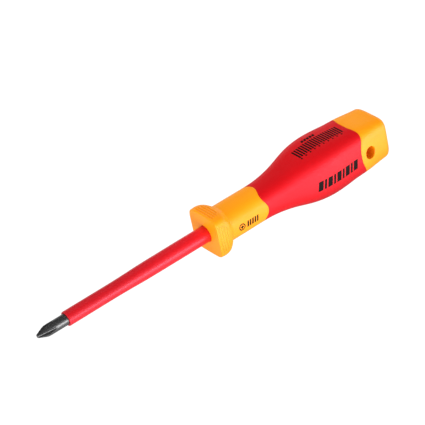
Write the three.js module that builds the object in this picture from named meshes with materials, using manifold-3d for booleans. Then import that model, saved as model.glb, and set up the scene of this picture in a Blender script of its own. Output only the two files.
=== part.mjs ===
// Insulated cross-head screwdriver, PH2 x 100, lying along X.
// Tip towards -X, butt towards +X, +Z up. Millimetres.
// The origin is at the bottom centre of the bounding box.
import * as THREE from 'three';
import { mergeVertices } from 'three/addons/utils/BufferGeometryUtils.js';
import Module from 'manifold-3d';

// ---- driving dimensions (u is the distance along the axis from the guard's front face) ----
const BLADE_LENGTH = 100.6;    // guard face to tip end, a nominal 100 mm blade
const BARE_TIP = 16.6;         // uninsulated length at the tip
const SHANK_D = 5.8;           // blade bar diameter under the insulation (6 mm bar size)
const TIP_END_R = 0.95;        // blunt end of the point
const TIP_CONE = 4.8;          // axial length of the point's cone
const FLUTE_LENGTH = 10.6;     // flutes run back this far from the tip end
const FLUTE_ANGLE = 12.5;       // turn of the first flute about the axis, degrees from -Y towards +Z
const TANG_END = 70;           // depth of the tang in the handle
const WING_START = 56, WING_END = 66, WING_HALF = 4.9, WING_THICK = 1.6;
const SLEEVE_FRONT_R = 3.79;   // insulation, thin front half
const SLEEVE_REAR_R = 4.22;    // insulation, thick rear half
const SLEEVE_DEPTH = 16;       // insulation carried into the handle
const SLEEVE_BORE_R = 2.95;
const CORE_FRONT_R = 5.0;      // inner core, front rod
const CORE_REAR_HALF = 7.2;    // inner core, keyed rear block, half across flats
const CORE_END = 83;
const HANDLE_LENGTH = 109;
const FIT_GAP = 0.05;          // clearance between moulded layers in this model
const SEG = 44;                // facets round the handle
const HOLE_U = 95.2, HOLE_Z = -0.9, HOLE_HALF_U = 3.0, HOLE_HALF_Z = 3.35; // hanging hole, bored along Y
const HALF_HEIGHT = 14.165;    // widest half across flats, which sets the resting height
const X0 = -(HANDLE_LENGTH - BLADE_LENGTH) / 2;  // puts the overall length's middle at x = 0

// handle stations: [u, half across flats, section exponent, corner radius limit]
const STATIONS = [
  [0.0, 10.5, 6.5, 14.3], [0.18, 10.84, 6.5, 14.75], [0.55, 11.0, 6.5, 15.05], [1.4, 11.02, 6.5, 15.3], [2.6, 11.05, 6.5, 15.5], [4.2, 11.0, 6.5, 14.95],
  [5.6, 10.9, 6.2, 14.1], [6.9, 10.7, 5.6, 13.0], [8.1, 10.3, 4.8, 11.7], [9.0, 9.8, 3.8, 10.6], [9.8, 9.33, 2.9, 10.0], [10.5, 9.05, 2.6, 10.2], [11.3, 8.98, 2.5, 14], [12.8, 8.97, 2.5, 30],
  [17, 8.97, 2.5, 30], [23.5, 8.93, 2.5, 30], [28, 8.91, 2.5, 30], [32, 8.91, 2.5, 30], [34.3, 8.95, 2.52, 30], [36.5, 9.08, 2.56, 30],
  [38.7, 9.25, 2.6, 30], [40.8, 9.46, 2.64, 30], [43, 9.74, 2.7, 30], [45.2, 10.08, 2.76, 30], [47.4, 10.46, 2.84, 30], [49.6, 10.91, 2.92, 30],
  [51.8, 11.42, 3.0, 30], [54, 11.95, 3.1, 30], [56.2, 12.47, 3.2, 30], [58.4, 12.94, 3.28, 30], [60.6, 13.34, 3.36, 30], [62.8, 13.66, 3.42, 30],
  [65, 13.9, 3.48, 30], [67.3, 14.08, 3.53, 30], [69.5, 14.18, 3.57, 30], [71.7, 14.2, 3.6, 30], [74, 14.14, 3.63, 30], [76.2, 14.04, 3.66, 30],
  [78.4, 13.89, 3.7, 30], [80.7, 13.71, 3.74, 30], [82.9, 13.49, 3.8, 30], [85.2, 13.27, 3.88, 30], [87.4, 13.12, 3.98, 30], [89.7, 13.0, 4.1, 30],
  [91.7, 12.88, 4.25, 30], [93.5, 12.7, 4.4, 30], [95.5, 12.48, 4.6, 30], [97.3, 12.24, 4.8, 30], [99.3, 11.98, 5.0, 30], [101.2, 11.77, 5.15, 30],
  [103.0, 11.6, 5.25, 30], [104.6, 11.45, 5.3, 30], [106.1, 11.2, 5.3, 30], [107.3, 10.79, 5.2, 30], [108.1, 10.24, 5.0, 30], [108.7, 9.46, 4.8, 30], [109.0, 8.56, 4.5, 30],
];

// ---- small helpers ----
const lerp = (a, b, t) => a + (b - a) * t;
function station(u) {
  let i = 0;
  while (i < STATIONS.length - 2 && u > STATIONS[i + 1][0]) i++;
  const A = STATIONS[i], B = STATIONS[i + 1];
  const t = Math.min(1, Math.max(0, (u - A[0]) / (B[0] - A[0])));
  return [lerp(A[1], B[1], t), lerp(A[2], B[2], t), lerp(A[3], B[3], t)];
}
// outer radius of the whole handle at (u, angle): a rounded square, its corners cut by a circle
function outer(u, th) {
  const [a, n, R] = station(u);
  const c = Math.abs(Math.cos(th)), s = Math.abs(Math.sin(th));
  const r = a * Math.pow(Math.pow(c, n) + Math.pow(s, n), -1 / n);
  return Math.pow(Math.pow(r, -18) + Math.pow(R, -18), -1 / 18);
}
// rounded-square section of constant size
function squareR(half, n, th) {
  return half * Math.pow(Math.pow(Math.abs(Math.cos(th)), n) + Math.pow(Math.abs(Math.sin(th)), n), -1 / n);
}
// facet angles: one flat facet, FLAT degrees either way, in the middle of each face, then even steps round the corner
const FLAT = 15;
function angles(count, flat) {
  const out = [], n = count / 4;
  for (let q = 0; q < 4; q++) {
    for (let j = 0; j < n; j++) out.push((90 * q + flat + (90 - 2 * flat) * j / (n - 1)) * Math.PI / 180);
  }
  return out;
}
const TH = angles(SEG, FLAT);

// Skin over rings of points. poles: a centre point closes each end; otherwise the rings form a loop.
function skin(rings, poles) {
  const n = rings[0].length, pos = [], idx = [];
  rings.forEach(r => r.forEach(p => pos.push(p[0], p[1], p[2])));
  const m = rings.length;
  const quad = (i, k, j) => {
    const j2 = (j + 1) % n, a = i * n + j, b = i * n + j2, c = k * n + j2, d = k * n + j;
    idx.push(a, b, c, a, c, d);
  };
  for (let i = 0; i < m - 1; i++) for (let j = 0; j < n; j++) quad(i, i + 1, j);
  if (poles) {
    for (const [i, p, flip] of [[0, poles[0], false], [m - 1, poles[1], true]]) {
      const q = pos.length / 3;
      pos.push(p[0], p[1], p[2]);
      for (let j = 0; j < n; j++) {
        const a = i * n + j, b = i * n + (j + 1) % n;
        if (flip) idx.push(a, b, q); else idx.push(b, a, q);
      }
    }
  } else {
    for (let j = 0; j < n; j++) quad(m - 1, 0, j);
  }
  // outward facing: the signed volume must be positive
  let v = 0;
  const P = i => [pos[3 * i], pos[3 * i + 1], pos[3 * i + 2]];
  for (let i = 0; i < idx.length; i += 3) {
    const [a, b, c] = [P(idx[i]), P(idx[i + 1]), P(idx[i + 2])];
    v += a[0] * (b[1] * c[2] - b[2] * c[1]) - a[1] * (b[0] * c[2] - b[2] * c[0]) + a[2] * (b[0] * c[1] - b[1] * c[0]);
  }
  if (v < 0) for (let i = 0; i < idx.length; i += 3) [idx[i + 1], idx[i + 2]] = [idx[i + 2], idx[i + 1]];
  const g = new THREE.BufferGeometry();
  g.setAttribute('position', new THREE.Float32BufferAttribute(pos, 3));
  g.setIndex(idx);
  return g;
}
// A ring at angles th, with u and r given as functions of the angle
const ring = (uf, rf, th = TH) => th.map(t => {
  const r = rf(t);
  return [uf(t), r * Math.cos(t), r * Math.sin(t)];
});
const at = u => () => u;

// A surface of revolution about X from a [u, r] profile that starts and ends on the axis or closes on itself
function revolve(profile, segments) {
  const g = new THREE.LatheGeometry(profile.map(([u, r]) => new THREE.Vector2(r, u)), segments);
  g.rotateZ(-Math.PI / 2);   // the lathe axis +Y becomes +X
  return g;
}

// ---- manifold-3d, for cuts only ----
const wasm = await Module();
wasm.setup();
function toSolid(geometry) {
  let g = geometry.clone();
  g.deleteAttribute('normal');
  g.deleteAttribute('uv');
  g = mergeVertices(g, 1e-5);
  // triangles that closed up at a pole are dropped
  const p = g.attributes.position.array, src = g.index.array, tri = [];
  for (let i = 0; i < src.length; i += 3) {
    if (src[i] !== src[i + 1] && src[i + 1] !== src[i + 2] && src[i] !== src[i + 2]) tri.push(src[i], src[i + 1], src[i + 2]);
  }
  let v = 0;
  const P = k => [p[3 * k], p[3 * k + 1], p[3 * k + 2]];
  for (let i = 0; i < tri.length; i += 3) {
    const [a, b, c] = [P(tri[i]), P(tri[i + 1]), P(tri[i + 2])];
    v += a[0] * (b[1] * c[2] - b[2] * c[1]) - a[1] * (b[0] * c[2] - b[2] * c[0]) + a[2] * (b[0] * c[1] - b[1] * c[0]);
  }
  if (v < 0) for (let i = 0; i < tri.length; i += 3) [tri[i + 1], tri[i + 2]] = [tri[i + 2], tri[i + 1]];
  return new wasm.Manifold(new wasm.Mesh({ numProp: 3, vertProperties: new Float32Array(p), triVerts: new Uint32Array(tri) }));
}
function toGeometry(solid) {
  const m = solid.getMesh(), g = new THREE.BufferGeometry();
  g.setAttribute('position', new THREE.Float32BufferAttribute(Array.from(m.vertProperties), 3));
  g.setIndex(Array.from(m.triVerts));
  return g;
}

// ---- the boundary between the hard body and the soft grip ----
// The hard body's tongues reach into the grip at the middle of each face; the grip reaches out at the corners.
const GRIP_FRONT = 31.25, GRIP_REAR = 90.39;  // mean positions of the grip's two edges
const gripFront = th => GRIP_FRONT + 1.03 * Math.cos(4 * th) - 0.05 * Math.cos(8 * th) + 0.26 * Math.cos(2 * th);
const gripRear = th => GRIP_REAR - 0.88 * Math.cos(4 * th) + 0.2 * Math.cos(8 * th) - 0.46 * Math.cos(2 * th);
// grip wall thickness and the locking ribs under it
const RIBS = [[43, 0.9], [57, 1.0], [71, 1.0], [82, 0.9]];
function gripWall(t) { // t runs from 0 at the front edge to 1 at the rear edge
  return 1.9 + 0.9 * Math.sin(Math.PI * Math.min(1, Math.max(0, t)));
}
// rows of the recess floor: [t along the grip, extra height of the floor]
function floorRows() {
  const rows = [[0, 0], [0.045, 0]];
  const span = GRIP_REAR - GRIP_FRONT;
  for (const [u, h] of RIBS) {
    const t = (u - GRIP_FRONT) / span, w = 1.3 / span, f = 0.5 / span;
    rows.push([t - w - f, 0], [t - w + f, h], [t + w - f, h], [t + w + f, 0]);
  }
  rows.push([0.955, 0], [1, 0]);
  return rows;
}
const gripU = (t, th) => lerp(gripFront(th), gripRear(th), t);

// ---- blade: bar, cross point and winged tang, one forging ----
function blade() {
  const r = SHANK_D / 2, tip = -BLADE_LENGTH;
  const body = revolve([
    [tip, 0], [tip, TIP_END_R - 0.25], [tip + 0.25, TIP_END_R + 0.08], [tip + TIP_CONE - 0.5, r - 0.16], [tip + TIP_CONE + 0.4, r],
    [TANG_END - 0.8, r], [TANG_END, r - 0.8], [TANG_END, 0],
  ], 32);
  let solid = toSolid(body);
  // flutes: a V of 88 degrees whose root climbs out of the bar
  const rootR = s => { // s is the distance from the tip end
    const k = Math.max(0, s - 8.4);
    return 0.4 + 0.226 * s + 0.075 * k * k;
  };
  const steps = [-1, 0, 2, 4, 6, 8.4, 9, 9.6, 10.2, FLUTE_LENGTH, FLUTE_LENGTH + 1.2];
  for (let q = 0; q < 4; q++) {
    const turn = Math.PI - (FLUTE_ANGLE + 90 * q) * Math.PI / 180; // from -Y towards +Z
    const dir = [Math.cos(turn), Math.sin(turn)], side = [-dir[1], dir[0]];
    const rings = steps.map(s => {
      const a = rootR(Math.max(0, s)), b = a + 3.6, half = 0.16, open = half + 3.6 * Math.tan(44 * Math.PI / 180);
      return [[a, -half], [a, half], [b, open], [b, -open]].map(([d, w]) =>
        [tip + s, d * dir[0] + w * side[0], d * dir[1] + w * side[1]]);
    });
    const mid = k => {
      const c = [0, 0, 0];
      rings[k].forEach(p => p.forEach((v, i) => { c[i] += v / 4; }));
      return c;
    };
    solid = solid.subtract(toSolid(skin(rings, [mid(0), mid(rings.length - 1)])));
  }
  // tang wings, pressed out of the bar on both sides
  const wing = new THREE.Shape([
    new THREE.Vector2(WING_START, -2), new THREE.Vector2(WING_START + 1.6, -WING_HALF), new THREE.Vector2(WING_END - 1.6, -WING_HALF), new THREE.Vector2(WING_END, -2),
    new THREE.Vector2(WING_END, 2), new THREE.Vector2(WING_END - 1.6, WING_HALF), new THREE.Vector2(WING_START + 1.6, WING_HALF), new THREE.Vector2(WING_START, 2),
  ]);
  const plate = new THREE.ExtrudeGeometry(wing, { depth: WING_THICK, bevelEnabled: false });
  plate.translate(0, 0, -WING_THICK / 2);
  solid = solid.add(toSolid(plate));
  return toGeometry(solid);
}

// ---- blade insulation: sleeve with a rounded front lip, a stepped outside and grip grooves inside the handle ----
function sleeve() {
  const f = -(BLADE_LENGTH - BARE_TIP), b = SLEEVE_BORE_R;
  const profile = [
    [f, b], [f, SLEEVE_FRONT_R - 0.32], [f + 0.12, SLEEVE_FRONT_R - 0.1], [f + 0.45, SLEEVE_FRONT_R],
    [-57, SLEEVE_FRONT_R], [-52, SLEEVE_FRONT_R + 0.05], [-45.8, SLEEVE_FRONT_R + 0.18], [-39.6, SLEEVE_REAR_R - 0.08], [-34, SLEEVE_REAR_R - 0.03], [-24, SLEEVE_REAR_R],
    [3, SLEEVE_REAR_R], [3.4, SLEEVE_REAR_R - 0.4], [5.6, SLEEVE_REAR_R - 0.4], [6, SLEEVE_REAR_R],
    [9, SLEEVE_REAR_R], [9.4, SLEEVE_REAR_R - 0.4], [11.6, SLEEVE_REAR_R - 0.4], [12, SLEEVE_REAR_R],
    [SLEEVE_DEPTH, SLEEVE_REAR_R], [SLEEVE_DEPTH, b], [f, b],
  ];
  return revolve(profile, 32);
}

// ---- inner core: first shot, moulded round the tang ----
const CORE_TH = angles(32, 6);
const coreRings = (grow, bore) => {
  const start = SLEEVE_DEPTH + 0.1 - (bore ? FIT_GAP : 0), end = CORE_END + (bore ? FIT_GAP : 0);
  const put = (u, f) => ring(at(u), th => f(th) + grow, CORE_TH);
  const round = () => CORE_FRONT_R, block = th => squareR(CORE_REAR_HALF, 4, th), neck = th => squareR(CORE_REAR_HALF - 0.9, 4, th);
  return [
    put(start, round), put(44, round), put(50, th => lerp(CORE_FRONT_R, block(th), 0.75)), put(53, block),
    put(66.5, block), put(67.5, neck), put(70.5, neck), put(71.5, block), put(end - 1.5, block), put(end, th => block(th) - 1.5),
  ];
};
function core() {
  const rings = coreRings(0, false);
  const a = SLEEVE_DEPTH + 0.1, e = CORE_END;
  let solid = toSolid(skin(rings, [[a, 0, 0], [e, 0, 0]]));
  const r = SHANK_D / 2 + FIT_GAP;
  solid = solid.subtract(toSolid(revolve([[a - 2, 0], [a - 2, r], [TANG_END + FIT_GAP, r], [TANG_END + FIT_GAP, 0]], 32)));
  const w = new THREE.Shape([
    new THREE.Vector2(WING_START - 0.15, -2), new THREE.Vector2(WING_START + 1.5, -WING_HALF - 0.12), new THREE.Vector2(WING_END - 1.5, -WING_HALF - 0.12), new THREE.Vector2(WING_END + 0.15, -2),
    new THREE.Vector2(WING_END + 0.15, 2), new THREE.Vector2(WING_END - 1.5, WING_HALF + 0.12), new THREE.Vector2(WING_START + 1.5, WING_HALF + 0.12), new THREE.Vector2(WING_START - 0.15, 2),
  ]);
  const t = WING_THICK + 2 * FIT_GAP;
  const slot = new THREE.ExtrudeGeometry(w, { depth: t, bevelEnabled: false });
  slot.translate(0, 0, -t / 2);
  return toGeometry(solid.subtract(toSolid(slot)));
}

// ---- handle body: guard, neck, grip recess with locking ribs, butt ----
function handleBody() {
  const rings = [];
  const on = u => rings.push(ring(at(u), th => outer(u, th)));
  // flat front face with an eased edge, guard, and the fillet into the neck
  for (const u of [0, 0.18, 0.55, 1.4, 2.6, 4.2, 5.6, 6.9, 8.1, 9.0, 9.8, 10.5, 11.3, 12.8, 20, 28]) on(u);
  // neck up to the grip's edge, then the recess
  rings.push(ring(gripFront, th => outer(gripFront(th), th)));
  const floor = (t, h) => ring(th => gripU(t, th), th => outer(gripU(t, th), th) - gripWall(t) - FIT_GAP + h);
  for (const [t, h] of floorRows()) rings.push(floor(t, h));
  rings.push(ring(gripRear, th => outer(gripRear(th), th)));
  for (const u of [95, 99, 103, 104.6, 106.1, 107.3, 108.1, 108.7, HANDLE_LENGTH]) on(u);
  let solid = toSolid(skin(rings, [[0, 0, 0], [HANDLE_LENGTH, 0, 0]]));
  // seat for the insulation, then the pocket that the core fills
  const sr = SLEEVE_REAR_R + FIT_GAP, d = SLEEVE_DEPTH + 0.05;
  const seat = revolve([
    [-2, 0], [-2, sr], [3 - 0.05, sr], [3.45, sr - 0.4], [5.55, sr - 0.4], [6.05, sr],
    [9 - 0.05, sr], [9.45, sr - 0.4], [11.55, sr - 0.4], [12.05, sr], [d, sr], [d, 0],
  ], 32);
  solid = solid.subtract(toSolid(seat));
  const pocket = coreRings(FIT_GAP, true);
  solid = solid.subtract(toSolid(skin(pocket, [[pocket[0][0][0], 0, 0], [pocket[pocket.length - 1][0][0], 0, 0]])));
  // hanging hole along Y
  const hole = new THREE.Shape();
  const k = HOLE_HALF_Z - HOLE_HALF_U;
  for (let i = 0; i < 24; i++) {
    const a = 2 * Math.PI * (i + 0.5) / 24;
    const x = HOLE_U + HOLE_HALF_U * Math.cos(a), z = HOLE_Z + HOLE_HALF_U * Math.sin(a) + Math.sign(Math.sin(a)) * k;
    if (i) hole.lineTo(x, z); else hole.moveTo(x, z);
  }
  hole.closePath();
  const drill = new THREE.ExtrudeGeometry(hole, { depth: 40, bevelEnabled: false });
  drill.translate(0, 0, -20);
  drill.rotateX(Math.PI / 2);
  return toGeometry(solid.subtract(toSolid(drill)));
}

// ---- soft grip: overmoulded skin that fills the recess ----
function softGrip() {
  const rings = [];
  const skinR = (t, th) => outer(gripU(t, th), th);
  const edge = FIT_GAP;
  const U = (t, th) => Math.min(Math.max(gripU(t, th), gripFront(th) + edge), gripRear(th) - edge);
  const N = 22;
  for (let i = 0; i <= N; i++) {
    const t = i / N;
    rings.push(ring(th => U(t, th), th => outer(U(t, th), th)));
  }
  const under = floorRows().reverse();
  for (const [t, h] of under) rings.push(ring(th => U(t, th), th => skinR(t, th) - gripWall(t) + h));
  return skin(rings, null);
}

// ---- scene ----
const group = new THREE.Group();
group.position.set(X0, 0, HALF_HEIGHT);
function addNode(name, geometry, colour, roughness, metalness) {
  const mesh = new THREE.Mesh(geometry, new THREE.MeshStandardMaterial({ color: colour, roughness, metalness }));
  mesh.name = name;
  group.add(mesh);
}
addNode('blade', blade(), 0x3c3d3e, 0.42, 0.9);
addNode('blade_insulation', sleeve(), 0xe01b24, 0.42, 0.0);
addNode('inner_core', core(), 0x2b2b2d, 0.6, 0.0);
addNode('handle_body', handleBody(), 0xfcb424, 0.45, 0.0);
addNode('soft_grip', softGrip(), 0xdf1a20, 0.6, 0.0);

export default group;
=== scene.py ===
"""Insulated cross-head screwdriver: fine meshes, procedural materials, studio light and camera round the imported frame.

Lengths below are in millimetres, measured along the tool's axis (u) from the guard's front plane;
the butt is at +u and the point at -u. P() turns them into the row frame in metres.
"""
import math

import bmesh
import bpy
import numpy as np
from mathutils import Matrix, Vector


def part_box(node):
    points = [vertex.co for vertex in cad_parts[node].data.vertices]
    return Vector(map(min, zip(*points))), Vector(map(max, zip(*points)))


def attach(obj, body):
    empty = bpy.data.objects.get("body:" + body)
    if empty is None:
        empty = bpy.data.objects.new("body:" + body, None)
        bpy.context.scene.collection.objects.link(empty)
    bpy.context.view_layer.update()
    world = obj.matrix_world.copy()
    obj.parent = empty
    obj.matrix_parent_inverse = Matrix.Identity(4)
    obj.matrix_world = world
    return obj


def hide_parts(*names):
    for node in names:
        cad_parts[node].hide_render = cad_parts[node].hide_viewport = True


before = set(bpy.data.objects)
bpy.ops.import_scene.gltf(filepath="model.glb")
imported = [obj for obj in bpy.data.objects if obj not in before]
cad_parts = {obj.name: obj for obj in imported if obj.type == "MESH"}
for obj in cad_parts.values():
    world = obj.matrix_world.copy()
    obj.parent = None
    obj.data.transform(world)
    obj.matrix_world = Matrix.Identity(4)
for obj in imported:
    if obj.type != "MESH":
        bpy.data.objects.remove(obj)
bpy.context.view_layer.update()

# ------------------------------------------------------------------ places, taken from the frame
handle_lo, handle_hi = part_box("handle_body")
sleeve_lo, sleeve_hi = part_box("blade_insulation")
blade_lo, blade_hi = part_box("blade")
grip_lo, grip_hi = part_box("soft_grip")
U0 = handle_lo.x                                   # guard's front plane
AXIS_Z = (sleeve_lo.z + sleeve_hi.z) / 2           # height of the axis
LENGTH = (handle_hi.x - handle_lo.x) * 1000        # handle length
TIP = (blade_lo.x - U0) * 1000                     # u of the tip end
HALF_ROOM = min(grip_hi.y, (grip_hi.z - grip_lo.z) / 2) * 1000 - 0.05  # the grip's half width that the box leaves, less the ink

SEG = 240
FIT_GAP = 0.05
SLEEVE_R1, SLEEVE_R2, SLEEVE_BORE, SLEEVE_DEPTH = 3.79, 4.22, 2.95, 16.0
BARE_TIP = 16.6
SHANK_R = 2.9
HOLE = dict(u=95.2, z=-0.9, hu=3.0, hz=3.35)
HOLE_X, HOLE_Z = U0 + HOLE["u"] * 0.001, AXIS_Z + HOLE["z"] * 0.001


def P(a):
    """(..., 3) array of [u, y, z] in mm to metres in the row frame."""
    a = np.asarray(a, float)
    out = a * 0.001
    out[..., 0] += U0
    out[..., 2] += AXIS_Z
    return out


# ------------------------------------------------------------------ the handle's section
STATIONS = np.array([
    [0, 11.0, 6.5, 14.9], [0.8, 11.0, 6.5, 15.1], [1.4, 11.02, 6.5, 15.3], [2.6, 11.05, 6.5, 15.5], [4.2, 11.0, 6.5, 14.95],
    [5.6, 10.9, 6.2, 14.1], [6.9, 10.7, 5.6, 13.0], [8.1, 10.3, 4.8, 11.7], [9.0, 9.8, 3.8, 10.6], [9.8, 9.33, 2.9, 10.0], [10.5, 9.05, 2.6, 10.2], [11.3, 8.98, 2.5, 14], [12.8, 8.97, 2.5, 20],
    [17, 8.97, 2.5, 30], [23.5, 8.93, 2.5, 30], [28, 8.91, 2.5, 30], [32, 8.91, 2.5, 30], [34.3, 8.95, 2.52, 30], [36.5, 9.08, 2.56, 30],
    [38.7, 9.25, 2.6, 30], [40.8, 9.46, 2.64, 30], [43, 9.74, 2.7, 30], [45.2, 10.08, 2.76, 30], [47.4, 10.46, 2.84, 30], [49.6, 10.91, 2.92, 30],
    [51.8, 11.42, 3.0, 30], [54, 11.95, 3.1, 30], [56.2, 12.47, 3.2, 30], [58.4, 12.94, 3.28, 30], [60.6, 13.34, 3.36, 30], [62.8, 13.66, 3.42, 30],
    [65, 13.9, 3.48, 30], [67.3, 14.08, 3.53, 30], [69.5, 14.18, 3.57, 30], [71.7, 14.2, 3.6, 30], [74, 14.14, 3.63, 30], [76.2, 14.04, 3.66, 30],
    [78.4, 13.89, 3.7, 30], [80.7, 13.71, 3.74, 30], [82.9, 13.49, 3.8, 30], [85.2, 13.27, 3.88, 30], [87.4, 13.12, 3.98, 30], [89.7, 13.0, 4.1, 30],
    [91.7, 12.88, 4.25, 30], [93.5, 12.7, 4.4, 30], [95.5, 12.48, 4.6, 30], [97.3, 12.24, 4.8, 30], [99.3, 11.98, 5.0, 30], [101.2, 11.77, 5.15, 30],
    [103.0, 11.6, 5.25, 30], [104.6, 11.47, 5.3, 30], [109.0, 11.2, 5.3, 30],
])


def pchip(xs, ys):
    """Monotone cubic through the points, as a function of an array."""
    h, n = np.diff(xs), len(xs)
    d = np.diff(ys) / h
    m = np.zeros(n)
    for i in range(1, n - 1):
        if d[i - 1] * d[i] > 0:
            w1, w2 = 2 * h[i] + h[i - 1], h[i] + 2 * h[i - 1]
            m[i] = (w1 + w2) / (w1 / d[i - 1] + w2 / d[i])
    m[0], m[-1] = d[0], d[-1]

    def f(x):
        x = np.clip(x, xs[0], xs[-1])
        i = np.clip(np.searchsorted(xs, x) - 1, 0, n - 2)
        t = (x - xs[i]) / h[i]
        return ((2 * t**3 - 3 * t**2 + 1) * ys[i] + (t**3 - 2 * t**2 + t) * h[i] * m[i]
                + (-2 * t**3 + 3 * t**2) * ys[i + 1] + (t**3 - t**2) * h[i] * m[i + 1])
    return f


def smoothed(col):
    """A station column on a fine grid, its small ripples evened out beyond the guard."""
    f = pchip(STATIONS[:, 0], STATIONS[:, col])
    grid = np.arange(0, 109.01, 0.1)
    v = f(grid)
    k = np.exp(-0.5 * (np.arange(-45, 46) * 0.1 / 1.3) ** 2)
    k /= k.sum()
    s = np.convolve(np.pad(v, 45, mode="reflect", reflect_type="odd"), k, mode="valid")
    w = np.clip((grid - 13) / 5, 0, 1)
    w = w * w * (3 - 2 * w)
    v = v * (1 - w) + s * w
    return lambda u: np.interp(u, grid, v)


HALF, EXPO, LIMIT = smoothed(1), smoothed(2), smoothed(3)
SHRINK = (14.2 - HALF_ROOM) / 14.2


def half_at(u):
    """Half width across the flats, with the guard's front edge and the butt's edge rounded."""
    u = np.asarray(u, float)
    a = HALF(u)
    a = a * (1 - SHRINK * np.clip(a / 14.2, 0, 1) ** 6)
    front = np.clip((0.5 - u) / 0.5, 0, 1)
    back = np.clip((u - (LENGTH - 3.4)) / 3.4, 0, 1)
    return a - 0.5 * (1 - np.sqrt(1 - front**2)) - 3.0 * (1 - np.sqrt(1 - back**2))


def outer(u, th):
    a, n, R = half_at(u), EXPO(u), LIMIT(u)
    front = np.clip((0.5 - u) / 0.5, 0, 1)
    R = R - 0.5 * (1 - np.sqrt(1 - front**2))
    c, s = np.abs(np.cos(th)), np.abs(np.sin(th))
    r = a * (c**n + s**n) ** (-1 / n)
    return (r**-18.0 + R**-18.0) ** (-1 / 18.0)


def flat_face(u, w):
    """Distance from the axis of a flat face at (u, offset w across the face)."""
    a, n = half_at(u), EXPO(u)
    return a * (1 - np.clip(np.abs(w) / a, 0, 0.999) ** n) ** (1 / n)


def smoothstep(a, b, x):
    t = np.clip((x - a) / (b - a), 0, 1)
    return t * t * (3 - 2 * t)


def thumb_pad(u, th):
    """How far a point is inside one of the guard's D-shaped pads (0-1), and how high it is on the pad's ribs (0-1)."""
    q = np.round(th / (math.pi / 2)) * (math.pi / 2)
    w = outer(u, th) * np.sin(th - q)
    reach = 7.5 * np.sqrt(np.clip(1 - (np.clip(u - 1.7, 0, None) / 5.5) ** 2.4, 0, 1))
    inside = smoothstep(-0.15, 0.55, reach - np.abs(w)) * smoothstep(0.4, 0.75, u) * (1 - smoothstep(6.6, 7.2, u))
    wave = 0.5 + 0.5 * np.cos(2 * math.pi * (u - 2.12) / 1.45)
    return inside, wave


def thumb_ribs(u, th):
    """Low ribs across each flat of the guard."""
    inside, wave = thumb_pad(u, th)
    return inside * (0.06 + 0.22 * wave**0.8)


def angles(count):
    t = 2 * math.pi * np.arange(count) / count
    return t + 0.075 * np.sin(4 * t)


TH = angles(SEG)


def ring(u, r, th=TH):
    u = np.broadcast_to(np.asarray(u, float), th.shape)
    r = np.broadcast_to(np.asarray(r, float), th.shape)
    return np.stack([u, r * np.cos(th), r * np.sin(th)], -1)


def skin_mesh(name, rings, start=None, end=None, loop=False, sharp=38):
    """A closed mesh over rings of points (mm). start and end: a centre point closes that end; loop joins the last ring to the first."""
    rings = np.asarray(rings)
    m, n = rings.shape[:2]
    pts = rings.reshape(-1, 3)
    i = np.arange(m if loop else m - 1)[:, None]
    j = np.arange(n)[None]
    k = (i + 1) % m
    quads = np.stack([i * n + j, i * n + (j + 1) % n, k * n + (j + 1) % n, k * n + j], -1).reshape(-1, 4)
    faces = [tuple(q) for q in quads.tolist()]
    extra = []
    for pole, row, flip in ((start, 0, False), (end, m - 1, True)):
        if pole is None:
            continue
        c = len(pts) + len(extra)
        extra.append(pole)
        for a in range(n):
            p, q = row * n + a, row * n + (a + 1) % n
            faces.append((p, q, c) if flip else (q, p, c))
    if extra:
        pts = np.vstack([pts, extra])
    return mesh_object(name, P(pts), faces, sharp)


def mesh_object(name, verts, faces, sharp=38):
    me = bpy.data.meshes.new(name)
    me.from_pydata([tuple(v) for v in verts], [], faces)
    me.validate()
    bm = bmesh.new()
    bm.from_mesh(me)
    bmesh.ops.remove_doubles(bm, verts=bm.verts, dist=2e-7)
    bmesh.ops.recalc_face_normals(bm, faces=bm.faces)
    bm.to_mesh(me)
    bm.free()
    me.shade_smooth()
    me.set_sharp_from_angle(angle=math.radians(sharp))
    o = bpy.data.objects.new(name, me)
    bpy.context.scene.collection.objects.link(o)
    return o


# ------------------------------------------------------------------ boundary of the soft grip
GRIP_FRONT, GRIP_REAR = 31.25, 90.39


def grip_front(th):
    return GRIP_FRONT + 1.03 * np.cos(4 * th) - 0.05 * np.cos(8 * th) + 0.26 * np.cos(2 * th)


def grip_rear(th):
    return GRIP_REAR - 0.88 * np.cos(4 * th) + 0.2 * np.cos(8 * th) - 0.46 * np.cos(2 * th)


def grip_u(t, th):
    return grip_front(th) * (1 - t) + grip_rear(th) * t


def grip_wall(t):
    return 1.9 + 0.9 * np.sin(math.pi * np.clip(t, 0, 1))


def floor_rows():
    rows, span = [[0, 0], [0.045, 0]], GRIP_REAR - GRIP_FRONT
    for u, h in [[43, 0.9], [57, 1.0], [71, 1.0], [82, 0.9]]:
        t, w, f = (u - GRIP_FRONT) / span, 1.3 / span, 0.5 / span
        rows += [[t - w - f, 0], [t - w + f, h], [t + w - f, h], [t + w + f, 0]]
    return rows + [[0.955, 0], [1, 0]]


# ------------------------------------------------------------------ handle body
def core_half(th, half):
    return half * (np.abs(np.cos(th)) ** 4 + np.abs(np.sin(th)) ** 4) ** -0.25


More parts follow.
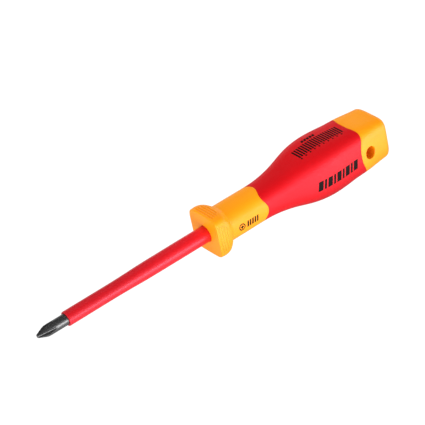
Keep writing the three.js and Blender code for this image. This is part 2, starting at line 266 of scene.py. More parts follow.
def make_handle_body():
    g = 0.07
    pocket = []
    block, neck, rod = core_half(TH, 7.2) + g, core_half(TH, 6.3) + g, np.full(SEG, 5.0 + g)
    for u, r in [(83 + g, block - 1.5), (81.5 + g, block), (71.5 - g, block), (70.5, neck), (67.5, neck), (66.5 + g, block), (53 - g, block),
                 (50, 5.0 + g + 0.75 * (block - 5.0 - g)), (44, rod), (SLEEVE_DEPTH + 0.02, rod)]:
        pocket.append(ring(u, r))
    sr = SLEEVE_R2 + FIT_GAP
    bore = [(SLEEVE_DEPTH + 0.02, sr), (12.05, sr), (11.6, sr - 0.4), (9.4, sr - 0.4), (8.95, sr), (6.05, sr), (5.6, sr - 0.4), (3.4, sr - 0.4),
            (2.95, sr), (0.5, sr), (0.28, sr + 0.02), (0.12, sr + 0.09), (0.03, sr + 0.2), (0, sr + 0.34)]
    rings = pocket + [ring(u, r) for u, r in bore]
    edge = outer(np.zeros(SEG), TH)
    for t in (0.12, 0.28, 0.46, 0.64, 0.8, 0.92):
        rings.append(ring(0, (sr + 0.34) * (1 - t) + edge * t))
    us = np.concatenate([[0, 0.006, 0.024, 0.055, 0.1, 0.155, 0.22, 0.3, 0.4, 0.5, 0.6, 0.72], np.arange(0.85, 9.0, 0.13), np.arange(9.0, 14, 0.3), np.arange(14, 26.5, 0.7)])
    for u in us:
        uu = np.full(SEG, u)
        rings.append(ring(u, outer(uu, TH) + thumb_ribs(uu, TH)))
    front, rear = grip_front(TH), grip_rear(TH)
    for t in np.linspace(0.06, 1, 12):
        u = 26.3 + (front - 26.3) * t
        near = np.clip(1 - (front - u) / 0.22, 0, 1)
        rings.append(ring(u, outer(u, TH) - 0.09 * near**2))
    u = front - 0.1
    rings.insert(-1, ring(u, outer(u, TH) - 0.03))
    for t, h in floor_rows():
        u = grip_u(t, TH)
        rings.append(ring(u, outer(u, TH) - grip_wall(t) - FIT_GAP + h))
    rings.append(ring(rear, outer(rear, TH) - 0.09))
    rings.append(ring(rear + 0.1, outer(rear + 0.1, TH) - 0.03))
    rings.append(ring(rear + 0.24, outer(rear + 0.24, TH)))
    for t in np.linspace(0.08, 1, 9):
        u = rear + 0.24 + (94.0 - rear) * t
        rings.append(ring(u, outer(u, TH)))
    for u in np.concatenate([np.arange(94.6, LENGTH - 3.4, 0.35), LENGTH - 3.4 * (1 - np.sin(np.linspace(0, math.pi / 2, 16)))]):
        uu = np.full(SEG, u)
        rings.append(ring(u, outer(uu, TH)))
    last = outer(np.full(SEG, LENGTH), TH)
    for t in (0.93, 0.8, 0.6, 0.4, 0.2):
        rings.append(ring(LENGTH, last * t))
    body = skin_mesh("handle_shell", rings, start=[83 + g, 0, 0], end=[LENGTH, 0, 0])

    # hanging hole, its two mouths flared onto the faces
    n, edge_r = 72, 0.4
    a = 2 * math.pi * (np.arange(n) + 0.5) / n
    depths = [0.02, 0.045, 0.08, 0.13, 0.19, 0.26, 0.33, edge_r]
    cut = []

    def row(grow, depth, side, fixed=None):
        hu, hz = HOLE["hu"] + grow, HOLE["hz"] + grow
        cu = HOLE["u"] + hu * np.sign(np.cos(a)) * np.abs(np.cos(a)) ** 0.96
        cz = HOLE["z"] + hz * np.sign(np.sin(a)) * np.abs(np.sin(a)) ** 0.96
        y = np.full(n, fixed) if fixed is not None else side * (flat_face(cu, cz) - depth)
        return np.stack([cu, y, cz], -1)

    flare = lambda d: edge_r - math.sqrt(max(0.0, edge_r**2 - (edge_r - d) ** 2))
    for side in (-1, 1):
        part = [row(flare(0.02) + 0.02, 0, side, side * 16.0)] + [row(flare(d), d, side) for d in depths]
        part.append(row(0, 0, side, side * 10.2))
        cut += part if side < 0 else part[::-1]
    cutter = skin_mesh("hole_cutter", cut, start=[HOLE["u"], -16.0, HOLE["z"]], end=[HOLE["u"], 16.0, HOLE["z"]])
    mod = body.modifiers.new("hole", "BOOLEAN")
    mod.operation, mod.solver, mod.object = "DIFFERENCE", "EXACT", cutter
    bpy.context.view_layer.update()
    dg = bpy.context.evaluated_depsgraph_get()
    me = bpy.data.meshes.new_from_object(body.evaluated_get(dg))
    body.modifiers.clear()
    old = body.data
    body.data = me
    bpy.data.meshes.remove(old)
    bpy.data.objects.remove(cutter)
    me.name = "handle_shell"
    bm = bmesh.new()
    bm.from_mesh(me)
    bmesh.ops.remove_doubles(bm, verts=bm.verts, dist=1e-6)
    bmesh.ops.dissolve_degenerate(bm, edges=bm.edges, dist=1e-6)
    bm.to_mesh(me)
    bm.free()
    me.shade_smooth()
    me.set_sharp_from_angle(angle=math.radians(38))
    # painted shade in the pads' grooves: how deep each point lies in them, stronger on the top and bottom faces than on
    # the sides
    co = np.empty(len(me.vertices) * 3)
    me.vertices.foreach_get("co", co)
    co = co.reshape(-1, 3)
    u, y, z = (co[:, 0] - U0) * 1000, co[:, 1] * 1000, (co[:, 2] - AXIS_Z) * 1000
    th = np.arctan2(z, y)
    inside, wave = thumb_pad(np.clip(u, 0, LENGTH), th)
    on_skin = np.hypot(y, z) > outer(np.clip(u, 0, LENGTH), th) - 0.6
    groove_shade = me.attributes.new("groove_shade", "FLOAT", "POINT")
    groove_shade.data.foreach_set("value", (inside * (1 - wave) ** 1.3 * on_skin * (u > 0.6) * (0.4 + 0.6 * np.sin(th) ** 2)).astype(np.float32))
    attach(body, "root")
    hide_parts("handle_body")
    return body


# ------------------------------------------------------------------ soft grip
def make_grip():
    rings = []
    e = FIT_GAP
    front, rear = grip_front(TH) + e, grip_rear(TH) - e

    def at(t):
        return front * (1 - t) + rear * t
    span = GRIP_REAR - GRIP_FRONT
    for d, dip in [(0, 0.2), (0.05, 0.1), (0.12, 0.04), (0.22, 0.01), (0.36, 0)]:
        u = front + d
        rings.append(ring(u, outer(u, TH) - dip))
    for t in np.linspace(0, 1, 132)[1:-1]:
        u = front + 0.36 + (rear - front - 0.72) * t
        rings.append(ring(u, outer(u, TH)))
    for d, dip in [(0.36, 0), (0.22, 0.01), (0.12, 0.04), (0.05, 0.1), (0, 0.2)]:
        u = rear - d
        rings.append(ring(u, outer(u, TH) - dip))
    for t, h in floor_rows()[::-1]:
        u = np.clip(grip_u(t, TH), front, rear)
        rings.append(ring(u, outer(grip_u(t, TH), TH) - grip_wall(t) + h))
    grip = skin_mesh("grip_skin", rings, loop=True)
    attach(grip, "root")
    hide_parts("soft_grip")
    return grip


# ------------------------------------------------------------------ insulation sleeve
def make_sleeve():
    f, b = TIP + BARE_TIP, SLEEVE_BORE
    th = 2 * math.pi * np.arange(128) / 128
    prof = [(f + 0.25, b), (f + 0.06, b + 0.03), (f, b + 0.12)]
    r1 = SLEEVE_R1
    for k in range(0, 9):
        p = math.pi / 2 * k / 8
        prof.append((f + 0.42 * (1 - math.cos(p)), r1 - 0.42 + 0.42 * math.sin(p)))
    body = pchip(np.array([f + 0.42, -70, -57, -52, -45.8, -39.6, -34, -24, 3.0]), np.array([r1, r1, r1, r1 + 0.05, r1 + 0.19, 4.13, 4.185, SLEEVE_R2, SLEEVE_R2]))
    for u in np.arange(f + 1.2, 2.9, 0.8):
        prof.append((u, float(body(u))))
    prof += [(3, 4.22), (3.4, 3.82), (5.6, 3.82), (6, 4.22), (9, 4.22), (9.4, 3.82), (11.6, 3.82), (12, 4.22), (SLEEVE_DEPTH, 4.22), (SLEEVE_DEPTH, b)]
    rings = []
    for u, r in prof:
        # the moulded sleeve isn't perfectly round or even
        wob = 0.012 * np.sin(2 * th + 0.07 * u) + 0.008 * np.sin(3 * th - 0.05 * u + 1.3) + 0.007 * math.sin(0.31 * u) if f + 0.5 < u < 2 else 0
        rings.append(ring(u, r + wob - (0.02 if f + 0.5 < u < 2 else 0), th))
    sleeve = skin_mesh("sleeve", rings, loop=True, sharp=50)
    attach(sleeve, "root")
    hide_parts("blade_insulation")
    return sleeve


# ------------------------------------------------------------------ blade with a number 2 cross point
FLUTE_TURN = math.pi - math.radians(12.5)
FLUTE_LENGTH = 10.6


def make_blade():
    per = 26                                      # samples from a flute's middle to the middle of the land
    tan_half = math.tan(math.radians(44))

    def bar(s):
        """Radius of the uncut bar, s from the tip end."""
        if s < 0.55:
            return 0.45 + 0.62 * math.sqrt(max(0.0, 1 - ((0.55 - s) / 0.55) ** 2))
        cone = 1.07 + (s - 0.55) * 0.405
        knee, soft = 2.9, 0.22
        # the cone runs into the bar through a small radius
        return -math.log(math.exp(-cone / soft) + math.exp(-knee / soft)) * soft if s < 9 else knee

    def root(s):
        k = max(0.0, s - 8.4)
        return 0.40 + 0.226 * s + 0.075 * k * k

    def flute_r(s, d):
        """Radius of the flute's surface at the angle d from its middle."""
        a = root(s)
        den = np.cos(d) - np.sin(d) / tan_half
        wall = (a - 0.16 / tan_half) / np.maximum(den, 1e-4)
        flat = a / np.cos(d)
        hyp = 0.1
        m = np.maximum(wall, flat)
        return m + hyp * np.exp(-((wall - flat) / 0.25) ** 2) * 0.35

    rings = []
    steps = np.concatenate([[0.0, 0.03, 0.09, 0.18, 0.3, 0.42, 0.55], np.arange(0.8, 5.2, 0.25), np.arange(5.2, FLUTE_LENGTH + 1.2, 0.2)])
    fine = np.linspace(0, math.pi / 4, 400)
    for s in steps:
        R = bar(s)
        fr = flute_r(s, fine)
        cut = fr < R
        edge = fine[np.argmin(cut)] if cut[0] else 0.0
        edge = min(max(edge, math.radians(6)), math.radians(43.2))
        inner = edge * np.linspace(0, 1, 17) ** 0.85
        land = edge + (math.pi / 4 - edge) * np.linspace(0, 1, per - 16)[1:]
        d = np.concatenate([inner, land])
        rr = np.minimum(flute_r(s, d), R)
        th_all, r_all = [], []
        for q in range(4):
            base = FLUTE_TURN - q * math.pi / 2
            dd = np.concatenate([-d[::-1], d[1:]])[:-1] if True else d
            rq = np.concatenate([rr[::-1], rr[1:]])[:-1]
            th_all.append(base - dd)
            r_all.append(rq)
        th, r = np.concatenate(th_all), np.concatenate(r_all)
        rings.append(np.stack([np.full(len(th), TIP + s), r * np.cos(th), r * np.sin(th)], -1))
    th = np.arctan2(rings[-1][:, 2], rings[-1][:, 1])
    for u in np.concatenate([[TIP + 13.0, TIP + 14.6, TIP + 16.4, TIP + 18.4], np.arange(-76, 54, 10.0), [54.5]]):
        rings.append(ring(u, SHANK_R, th))
    wing = np.maximum(SHANK_R, np.minimum(4.9 / np.maximum(np.abs(np.cos(th)), 1e-6), 0.8 / np.maximum(np.abs(np.sin(th)), 1e-6)))
    rings += [ring(56, SHANK_R, th), ring(57.6, wing, th), ring(64.4, wing, th), ring(66, SHANK_R, th), ring(69.2, SHANK_R, th), ring(70, SHANK_R - 0.8, th)]
    first = rings[0].mean(0)
    face = [first + (rings[0] - first) * k for k in (0.35, 0.7)]
    blade = skin_mesh("blade_steel_bar", face + rings, start=first, end=[70, 0, 0], sharp=30)
    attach(blade, "root")
    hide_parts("blade")
    return blade


# ------------------------------------------------------------------ printed marks: thin ink shapes that follow the surface
INK = 0.03


def ink_shapes(name, face, shapes):
    """shapes: lists of four corners (u, w) in order round the shape, or ("ring", u, w, inner radius, outer radius);
    face is 'front' (-Y, w is z) or 'top' (+Z, w is y)."""
    verts, faces = [], []
    for shape in shapes:
        closed = shape[0] == "ring"
        if closed:
            nu, nv = 48, 3
            turn, r = 2 * math.pi * np.arange(nu)[:, None] / nu, np.linspace(shape[4], shape[3], nv)
            u, w = shape[1] + r * np.cos(turn), shape[2] + r * np.sin(turn)
        else:
            a, b, c, d = [np.array(p, float) for p in shape]
            nu = max(2, int(np.ceil(max(np.linalg.norm(b - a), np.linalg.norm(c - d)) / 0.5)) + 1)
            nv = max(2, int(np.ceil(max(np.linalg.norm(d - a), np.linalg.norm(c - b)) / 0.5)) + 1)
            s, t = np.meshgrid(np.linspace(0, 1, nu), np.linspace(0, 1, nv), indexing="ij")
            s, t = s[..., None], t[..., None]
            uw = a * (1 - s) * (1 - t) + b * s * (1 - t) + c * s * t + d * (1 - s) * t
            u, w = uw[..., 0], uw[..., 1]
        for lift in (INK, -0.06):
            h = flat_face(u, w) + lift
            p = np.stack([u, -h, w], -1) if face == "front" else np.stack([u, w, h], -1)
            verts.append(P(p.reshape(-1, 3)))
        base = sum(len(v) for v in verts[:-2])
        off = nu * nv
        idx = np.arange(off).reshape(nu, nv)
        for i in range(nu if closed else nu - 1):
            n = (i + 1) % nu
            for j in range(nv - 1):
                q = [idx[i, j], idx[n, j], idx[n, j + 1], idx[i, j + 1]]
                faces.append(tuple(int(base + k) for k in q))
                faces.append(tuple(int(base + off + k) for k in q[::-1]))
        rims = [list(idx[:, 0]) + list(idx[-1, 1:]) + list(idx[-2::-1, -1]) + list(idx[0, -2:0:-1])]
        if closed:
            rims = [list(idx[:, 0]), list(idx[::-1, -1])]
        for rim in rims:
            for k in range(len(rim)):
                p, q = int(rim[k]), int(rim[(k + 1) % len(rim)])
                faces.append((base + q, base + p, base + off + p, base + off + q))
    o = mesh_object(name, np.vstack(verts), faces, sharp=60)
    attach(o, "root")
    return o


def rect(u0, u1, w0, w1, lean=0.0):
    """A bar from u0 to u1 and w0 to w1; lean shifts the w1 side along u."""
    return [(u0, w0), (u1, w0), (u1 + lean, w1), (u0 + lean, w1)]


def make_marks():
    made = []
    # -Y face of the grip: a plain row of leaning blocks
    shapes, u = [], 59.9
    for k, width in enumerate((2.7, 1.2, 2.7, 1.2, 2.7, 1.2, 2.7, 1.2, 2.7)):
        shapes.append(rect(u, u + width, -4.35, 0.75, 1.15))
        u += width + 0.87
    made.append(ink_shapes("mark_grip_front", "front", shapes))
    # +Z face of the grip: a plain row of even bars, a row of ticks below and a short row of blocks above
    shapes = []
    for k in range(20):
        u = 58.9 + 1.43 * k
        shapes.append(rect(u, u + 0.86, -4.55, 2.6))
        if k % 2 == 0:
            shapes.append(rect(u, u + 0.75, -5.95, -5.0))
    for k in range(5):
        shapes.append(rect(67.1 + 1.75 * k, 68.45 + 1.75 * k, 3.65, 5.45, 0.25))
    made.append(ink_shapes("mark_grip_top", "top", shapes))
    # neck: a cross-recess sign and a few leaning bars
    cu, cw = 15.6, -1.25
    shapes = [("ring", cu, cw, 1.34, 1.90)]
    shapes += [rect(cu - 0.92, cu + 0.92, cw - 0.32, cw + 0.32), rect(cu - 0.32, cu + 0.32, cw + 0.36, cw + 0.92), rect(cu - 0.32, cu + 0.32, cw - 0.92, cw - 0.36)]
    for k in range(5):
        shapes.append(rect(18.5 + 1.5 * k, 19.4 + 1.5 * k, -2.95, 0.35, 0.6))
    made.append(ink_shapes("mark_neck", "front", shapes))
    return made


# ------------------------------------------------------------------ materials
class Nodes:
    """Small helper to write node trees."""

    def __init__(self, name):
        self.mat = bpy.data.materials.new(name)
        self.mat.use_nodes = True
        self.t = self.mat.node_tree
        self.t.nodes.clear()
        self.out = self.t.nodes.new("ShaderNodeOutputMaterial")
        self.bsdf = self.t.nodes.new("ShaderNodeBsdfPrincipled")
        self.t.links.new(self.bsdf.outputs[0], self.out.inputs[0])
        self.coord = self.t.nodes.new("ShaderNodeTexCoord").outputs["Object"]

    def link(self, a, b):
        self.t.links.new(a, b)

    def scaled(self, sx, sy, sz):
        m = self.t.nodes.new("ShaderNodeMapping")
        m.inputs["Scale"].default_value = (sx, sy, sz)
        self.link(self.coord, m.inputs["Vector"])
        return m.outputs[0]

    def noise(self, scale, detail=3.0, rough=0.5, vector=None, distortion=0.0):
        n = self.t.nodes.new("ShaderNodeTexNoise")
        n.inputs["Scale"].default_value = scale
        n.inputs["Detail"].default_value = detail
        n.inputs["Roughness"].default_value = rough
        n.inputs["Distortion"].default_value = distortion
        self.link(vector or self.coord, n.inputs["Vector"])
        return n.outputs["Fac"]

    def ramp(self, value, lo, hi, a, b):
        """value from lo..hi to a..b, clamped."""
        m = self.t.nodes.new("ShaderNodeMapRange")
        for k, v in (("From Min", lo), ("From Max", hi), ("To Min", a), ("To Max", b)):
            m.inputs[k].default_value = v
        self.link(value, m.inputs["Value"])
        return m.outputs[0]

    def math(self, op, a, b=None):
        m = self.t.nodes.new("ShaderNodeMath")
        m.operation = op
        for k, v in ((0, a), (1, b)):
            if v is None:
                continue
            if isinstance(v, (int, float)):
                m.inputs[k].default_value = v
            else:
                self.link(v, m.inputs[k])
        return m.outputs[0]

    def mix(self, fac, a, b):
        m = self.t.nodes.new("ShaderNodeMix")
        m.data_type = "RGBA"
        for sock, v in ((m.inputs[0], fac), (m.inputs[6], a), (m.inputs[7], b)):
            if isinstance(v, (int, float)):
                sock.default_value = v
            elif isinstance(v, tuple):
                sock.default_value = (*v, 1.0)
            else:
                self.link(v, sock)
        return m.outputs[2]

    def bump(self, height, strength, distance, normal=None):
        b = self.t.nodes.new("ShaderNodeBump")
        b.inputs["Strength"].default_value = strength
        b.inputs["Distance"].default_value = distance
        self.link(height, b.inputs["Height"])
        if normal is not None:
            self.link(normal, b.inputs["Normal"])
        return b.outputs[0]

    def edges(self, lo=0.5, hi=0.56):
        g = self.t.nodes.new("ShaderNodeNewGeometry")
        return self.ramp(g.outputs["Pointiness"], lo, hi, 0.0, 1.0)

    def set(self, **kw):
        for k, v in kw.items():
            s = self.bsdf.inputs[k.replace("_", " ")]
            if isinstance(v, tuple):
                s.default_value = (*v, 1.0) if len(v) == 3 and s.type == "RGBA" else v
            elif isinstance(v, (int, float)):
                s.default_value = v
            else:
                self.link(v, s)
        return self


def amber_plastic():
    m = Nodes("amber_polypropylene")
    cloud = m.noise(38, 3, 0.5)                               # slow change of tint in the moulding
    flow = m.noise(1.0, 2, 0.5, m.scaled(55, 260, 260), 0.6)  # faint flow lines along the tool
    speck = m.noise(5200, 2, 0.6)
    colour = m.mix(m.ramp(cloud, 0.35, 0.65, 0, 1), (0.985, 0.315, 0.0035), (1.0, 0.350, 0.0045))
    colour = m.mix(m.ramp(flow, 0.45, 0.75, 0, 0.35), colour, (1.0, 0.37, 0.006))
    colour = m.mix(m.ramp(speck, 0.62, 0.8, 0, 0.16), colour, (0.93, 0.26, 0.003))
    worn = m.math("MULTIPLY", m.edges(0.512, 0.56), m.ramp(m.noise(420, 4, 0.6), 0.4, 0.7, 0, 1))
    colour = m.mix(m.math("MULTIPLY", worn, 0.10), colour, (1.0, 0.47, 0.05))
    # painted shade: concave creases and fillets darkened to a deeper orange
    colour = m.mix(m.math("MULTIPLY", m.edges(0.488, 0.455), 0.6), colour, (0.86, 0.20, 0.002))
    # painted shade: the pads' grooves darkened to a deeper orange, more on the top and bottom faces than on the sides
    lines = m.t.nodes.new("ShaderNodeAttribute")
    lines.attribute_name = "groove_shade"
    colour = m.mix(m.math("MULTIPLY", lines.outputs["Fac"], 0.88), colour, (0.92, 0.215, 0.002))
    # painted shade: the wall of the hanging hole is darkened, where less light reaches
    place = m.t.nodes.new("ShaderNodeSeparateXYZ")
    m.link(m.coord, place.inputs[0])
    off_x = m.math("DIVIDE", m.math("SUBTRACT", place.outputs["X"], HOLE_X), HOLE["hu"] * 0.001)
    off_z = m.math("DIVIDE", m.math("SUBTRACT", place.outputs["Z"], HOLE_Z), HOLE["hz"] * 0.001)
    reach = m.math("SQRT", m.math("ADD", m.math("MULTIPLY", off_x, off_x), m.math("MULTIPLY", off_z, off_z)))
    hole_shade = m.math("MULTIPLY", m.ramp(reach, 1.10, 1.02, 0, 1), m.ramp(m.noise(700, 3, 0.6), 0.3, 0.7, 0.75, 1))
    colour = m.mix(hole_shade, colour, (0.86, 0.27, 0.002))
    scuff = m.ramp(m.noise(1.0, 4, 0.6, m.scaled(260, 900, 900), 0.4), 0.5, 0.8, 0, 1)
    rough = m.math("ADD", m.ramp(m.noise(900, 3, 0.6), 0.3, 0.7, 0.34, 0.43), m.math("MULTIPLY", scuff, 0.08))
    grain = m.bump(m.noise(3600, 3, 0.55), 0.10, 0.00004)
    wave = m.bump(m.noise(150, 2, 0.5), 0.06, 0.0004, grain)
    m.set(Base_Color=colour, Roughness=rough, Normal=wave, Specular_IOR_Level=0.3, IOR=1.49, Specular_Tint=(1.0, 0.72, 1.0))
    return m.mat


def soft_red():
    m = Nodes("soft_grip_red")
    cloud = m.noise(30, 3, 0.5)
    speck = m.noise(4200, 2, 0.6)
    colour = m.mix(m.ramp(cloud, 0.35, 0.65, 0, 1), (0.605, 0.0028, 0.0052), (0.645, 0.0038, 0.0064))
    colour = m.mix(m.ramp(speck, 0.6, 0.8, 0, 0.22), colour, (0.50, 0.0035, 0.006))
    rub = m.ramp(m.noise(70, 4, 0.6, None, 0.5), 0.5, 0.72, 0, 1)  # polished by handling in places
    worn = m.math("MULTIPLY", m.edges(0.515, 0.57), m.ramp(m.noise(380, 4, 0.6), 0.4, 0.7, 0, 1))
    colour = m.mix(m.math("MULTIPLY", worn, 0.25), colour, (0.78, 0.03, 0.035))
    rough = m.math("SUBTRACT", m.ramp(m.noise(1300, 3, 0.6), 0.3, 0.7, 0.42, 0.52), m.math("MULTIPLY", rub, 0.06))
    grain = m.bump(m.noise(4600, 3, 0.6), 0.16, 0.00004)
    wave = m.bump(m.noise(120, 2, 0.5), 0.05, 0.0004, grain)
    m.set(Base_Color=colour, Roughness=rough, Normal=wave, Specular_IOR_Level=0.3, IOR=1.5, Specular_Tint=(1.0, 0.70, 1.0))
    return m.mat


def sleeve_red():
    m = Nodes("sleeve_red_nylon")
    cloud = m.noise(26, 3, 0.5)
    draw = m.noise(1.0, 2, 0.5, m.scaled(24, 520, 520), 0.2)   # faint draw lines along the sleeve
    colour = m.mix(m.ramp(cloud, 0.35, 0.65, 0, 1), (0.545, 0.0062, 0.0105), (0.585, 0.0078, 0.0125))
    place = m.t.nodes.new("ShaderNodeSeparateXYZ")               # painted light: paler over the last 55 mm before the guard, where the light on the sleeve is brighter
    m.link(m.coord, place.inputs[0])
    colour = m.mix(m.ramp(place.outputs["X"], U0 - 0.055, U0, 0, 0.85), colour, (0.760, 0.0068, 0.0105))
    colour = m.mix(m.ramp(draw, 0.45, 0.8, 0, 0.10), colour, (0.52, 0.006, 0.010))
    scratch = m.ramp(m.noise(1.0, 5, 0.7, m.scaled(240, 1100, 1100), 1.2), 0.58, 0.66, 0, 1)
    colour = m.mix(m.math("MULTIPLY", scratch, 0.04), colour, (0.80, 0.08, 0.09))
    rough = m.math("ADD", m.ramp(draw, 0.3, 0.7, 0.34, 0.39), m.math("MULTIPLY", scratch, 0.08))
    grain = m.bump(draw, 0.05, 0.00003)
    wave = m.bump(m.noise(150, 2, 0.5), 0.04, 0.0003, grain)
    m.set(Base_Color=colour, Roughness=rough, Normal=wave, Specular_IOR_Level=0.55, IOR=1.52, Specular_Tint=(1.0, 0.70, 1.0))
    return m.mat


def dark_steel():
    m = Nodes("black_phosphated_steel")
    blotch = m.noise(900, 5, 0.62)
    grind = m.noise(1.0, 3, 0.6, m.scaled(9000, 500, 500), 0.1)   # turning marks round the bar
    colour = m.mix(m.ramp(blotch, 0.35, 0.68, 0, 1), (0.183, 0.184, 0.187), (0.208, 0.208, 0.210))
    colour = m.mix(m.ramp(grind, 0.5, 0.8, 0, 0.12), colour, (0.22, 0.22, 0.22))
    worn = m.math("MULTIPLY", m.edges(0.53, 0.62), m.ramp(m.noise(2600, 4, 0.65), 0.4, 0.7, 0.1, 0.8))
    colour = m.mix(m.math("MULTIPLY", worn, 0.3), colour, (0.26, 0.255, 0.25))
    rough = m.math("SUBTRACT", m.ramp(blotch, 0.3, 0.7, 0.31, 0.35), m.math("MULTIPLY", worn, 0.12))
    grain = m.bump(blotch, 0.03, 0.00001)
    lines = m.bump(grind, 0.02, 0.00001, grain)
    m.set(Base_Color=colour, Roughness=rough, Normal=lines, Metallic=0.9, Specular_IOR_Level=0.5)
    return m.mat


def core_plastic():
    m = Nodes("core_plastic_dark")
    colour = m.mix(m.ramp(m.noise(60, 4, 0.6), 0.35, 0.65, 0, 1), (0.022, 0.022, 0.024), (0.036, 0.036, 0.038))
    rough = m.ramp(m.noise(800, 3, 0.6), 0.3, 0.7, 0.5, 0.66)
    m.set(Base_Color=colour, Roughness=rough, Normal=m.bump(m.noise(2400, 3, 0.6), 0.15, 0.00005))
    return m.mat


def black_ink():
    m = Nodes("black_marking_ink")
    thin = m.noise(2600, 4, 0.65)
    colour = m.mix(m.ramp(thin, 0.45, 0.75, 0, 1), (0.008, 0.005, 0.005), (0.018, 0.009, 0.009))
    rough = m.ramp(m.noise(1500, 3, 0.6), 0.3, 0.7, 0.45, 0.6)
    m.set(Base_Color=colour, Roughness=rough, Normal=m.bump(thin, 0.2, 0.00002), Specular_IOR_Level=0.05)
    return m.mat


def paint(o, mat):
    o.data.materials.clear()
    o.data.materials.append(mat)


paint(make_handle_body(), amber_plastic())
paint(make_grip(), soft_red())
paint(make_sleeve(), sleeve_red())
paint(make_blade(), dark_steel())
ink = black_ink()
for mark in make_marks():
    paint(mark, ink)
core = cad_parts["inner_core"]
for k in range(max(1, len(core.material_slots))):
    if not core.material_slots:
        core.data.materials.append(core_plastic())
    else:
        core.material_slots[k].material = core_plastic()

# ------------------------------------------------------------------ floor
GLOSS_STRIP, GLOSS_BAND, GLOSS_FLOOR, GLOSS_RIM, GLOSS_SKY = 6.5, 3.6, 0.30, 0.8, 0.07
FILL_AHEAD, FILL_FLOOR, FILL_RIM, FILL_SKY = 0.55, 0.95, 0.6, 0.2


def ray_switch(tree, seen, gloss, fill):
    """Strength that the camera sees, that reflections see, and that lights the matt surfaces."""
    path = tree.nodes.new("ShaderNodeLightPath")
    value = fill
    for flag, strength in (("Is Glossy Ray", gloss), ("Is Camera Ray", seen)):
        pick = tree.nodes.new("ShaderNodeMix")
        tree.links.new(path.outputs[flag], pick.inputs[0])
        for sock, v in ((pick.inputs[2], value), (pick.inputs[3], strength)):
            if isinstance(v, (int, float)):
                sock.default_value = v
            else:
                tree.links.new(v, sock)
        value = pick.outputs[0]
    return value


floor_me = bpy.data.meshes.new("floor")
floor_me.from_pydata([(-8, -8, 0), (8, -8, 0), (8, 8, 0), (-8, 8, 0)], [], [(0, 1, 2, 3)])
floor = bpy.data.objects.new("floor", floor_me)
bpy.context.scene.collection.objects.link(floor)
fm = Nodes("pale_floor")
# a white light table: reflections find it brightest in a strip beside the tool's printed face, and dim close under the tool
sep = fm.t.nodes.new("ShaderNodeSeparateXYZ")
fm.link(fm.coord, sep.inputs[0])
along = fm.math("MULTIPLY", fm.ramp(sep.outputs["X"], -0.11, -0.02, 0.30, 1), fm.ramp(sep.outputs["X"], 0.45, 0.20, 0, 1))
strip = fm.math("MULTIPLY", fm.ramp(sep.outputs["Y"], -0.018, -0.078, 0, 1), along)
shine = fm.math("ADD", fm.math("MULTIPLY", strip, GLOSS_STRIP), fm.ramp(sep.outputs["X"], -0.05, -0.10, GLOSS_FLOOR, GLOSS_FLOOR * 1.5))
ahead = fm.math("MULTIPLY", fm.ramp(sep.outputs["X"], 0.01, -0.02, 0, 1), fm.ramp(sep.outputs["X"], -0.25, -0.10, 0, 1))
fill = fm.math("ADD", fm.math("MULTIPLY", ahead, FILL_AHEAD), FILL_FLOOR)
fm.set(Base_Color=fm.mix(fm.ramp(fm.noise(3, 2, 0.5), 0.4, 0.6, 0, 1), (0.04, 0.04, 0.04), (0.05, 0.05, 0.05)), Roughness=0.9, Specular_IOR_Level=0.0,
       Emission_Color=(1.0, 1.0, 1.0), Emission_Strength=ray_switch(fm.t, 1.05, shine, fill))
floor_me.materials.append(fm.mat)
if hasattr(fm.mat, "cycles"):
    fm.mat.cycles.emission_sampling = "NONE"       # the huge plane is found by bounced rays, which keeps the noise low

# ------------------------------------------------------------------ light
world = bpy.data.worlds.new("studio")
bpy.context.scene.world = world
world.use_nodes = True
if hasattr(world, "cycles"):
    world.cycles.sampling_method = "NONE"
wt = world.node_tree
wt.nodes.clear()
w_out, w_bg = wt.nodes.new("ShaderNodeOutputWorld"), wt.nodes.new("ShaderNodeBackground")
w_tc, w_sep = wt.nodes.new("ShaderNodeTexCoord"), wt.nodes.new("ShaderNodeSeparateXYZ")
wt.links.new(w_tc.outputs["Generated"], w_sep.inputs[0])
wt.links.new(w_bg.outputs[0], w_out.inputs[0])
w_bg.inputs["Color"].default_value = (1, 1, 1, 1)


def w_ramp(axis, lo, hi, a, b):
    r = wt.nodes.new("ShaderNodeMapRange")
    for k, v in (("From Min", lo), ("From Max", hi), ("To Min", a), ("To Max", b)):
        r.inputs[k].default_value = v
    wt.links.new(w_sep.outputs[axis], r.inputs["Value"])
    return r.outputs[0]


def w_math(op, a, b):
    m = wt.nodes.new("ShaderNodeMath")
    m.operation = op
    for k, v in ((0, a), (1, b)):
        if isinstance(v, (int, float)):
            m.inputs[k].default_value = v
        else:
            wt.links.new(v, m.inputs[k])
    return m.outputs[0]


low_band = w_math("MULTIPLY", w_math("MULTIPLY", w_ramp("Z", 0.0, 0.13, 1, 0), w_ramp("Y", -0.3, -0.7, 0, 1)), GLOSS_BAND)
gloss_sky = w_math("ADD", w_ramp("Z", 0.30, 0.53, GLOSS_RIM, GLOSS_SKY), low_band)
wt.links.new(ray_switch(wt, 1.05, gloss_sky, w_ramp("Z", 0.0, 0.5, FILL_RIM, FILL_SKY)), w_bg.inputs["Strength"])


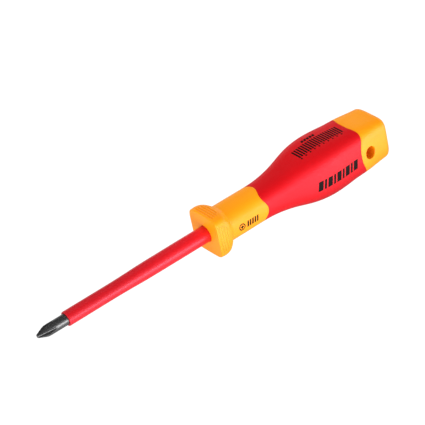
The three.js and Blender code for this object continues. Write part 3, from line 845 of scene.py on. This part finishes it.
def softbox(name, toward, distance, power, size, gloss=False, centre=(0.02, 0, 0.015), tint=(1, 1, 1)):
    light = bpy.data.lights.new(name, "AREA")
    light.shape, light.size, light.size_y, light.energy, light.color = "RECTANGLE", size[0], size[1], power, tint
    o = bpy.data.objects.new(name, light)
    d = Vector(toward).normalized()
    o.location = Vector(centre) + d * distance
    o.rotation_mode = "QUATERNION"
    o.rotation_quaternion = (-d).to_track_quat("-Z", "Y")
    o.visible_camera = False
    o.visible_glossy = gloss
    bpy.context.scene.collection.objects.link(o)
    return o


softbox("front", (0.10, -0.90, 0.42), 1.3, 5.0, (0.9, 0.7))
softbox("apron", (0.0, 0.0, -1.0), 0.1, 3.6, (1.4, 0.355), centre=(0.0, -0.2, 0.1015))      # a low panel lying beside the printed face
softbox("overhead", (0.16, 0.30, 0.94), 1.3, 13.0, (1.0, 1.0))
softbox("side", (-0.93, -0.12, 0.26), 1.3, 5.2, (1.1, 0.7))

# ------------------------------------------------------------------ camera
ALPHA, PHI, ROLL = math.radians(25.28), math.radians(37.78), math.radians(31.295)
FOCAL_PX, DEPTH, GX, GY = 2503.2, 1.2, 205.01 + 0.5, 233.23 + 0.5
back = Vector((-math.sin(ALPHA), -math.cos(ALPHA) * math.cos(PHI), math.cos(ALPHA) * math.sin(PHI)))
ex = (Vector((1, 0, 0)) - back * back.x).normalized()
ep = (-back).cross(ex)
right = ex * math.cos(ROLL) + ep * math.sin(ROLL)
down = -ex * math.sin(ROLL) + ep * math.cos(ROLL)
offset = right * ((GX - 212.5) * DEPTH / FOCAL_PX) + down * ((GY - 212.5) * DEPTH / FOCAL_PX) - back * DEPTH
cam_data = bpy.data.cameras.new("camera")
cam = bpy.data.objects.new("camera", cam_data)
bpy.context.scene.collection.objects.link(cam)
cam_data.sensor_fit, cam_data.sensor_width = "HORIZONTAL", 36.0
cam_data.lens = 36.0 * FOCAL_PX / 425.0
cam_data.clip_start, cam_data.clip_end = 0.05, 50.0
guard_point = Vector((U0, 0, AXIS_Z))
m3 = Matrix((right, -down, back)).transposed()
cam.matrix_world = Matrix.Translation(guard_point - offset) @ m3.to_4x4()
bpy.context.scene.camera = cam

bpy.context.scene.view_settings.view_transform = "Standard"
bpy.context.scene.view_settings.look = "None"
bpy.context.scene.view_settings.exposure = 0.0
bpy.context.scene.view_settings.gamma = 1.0
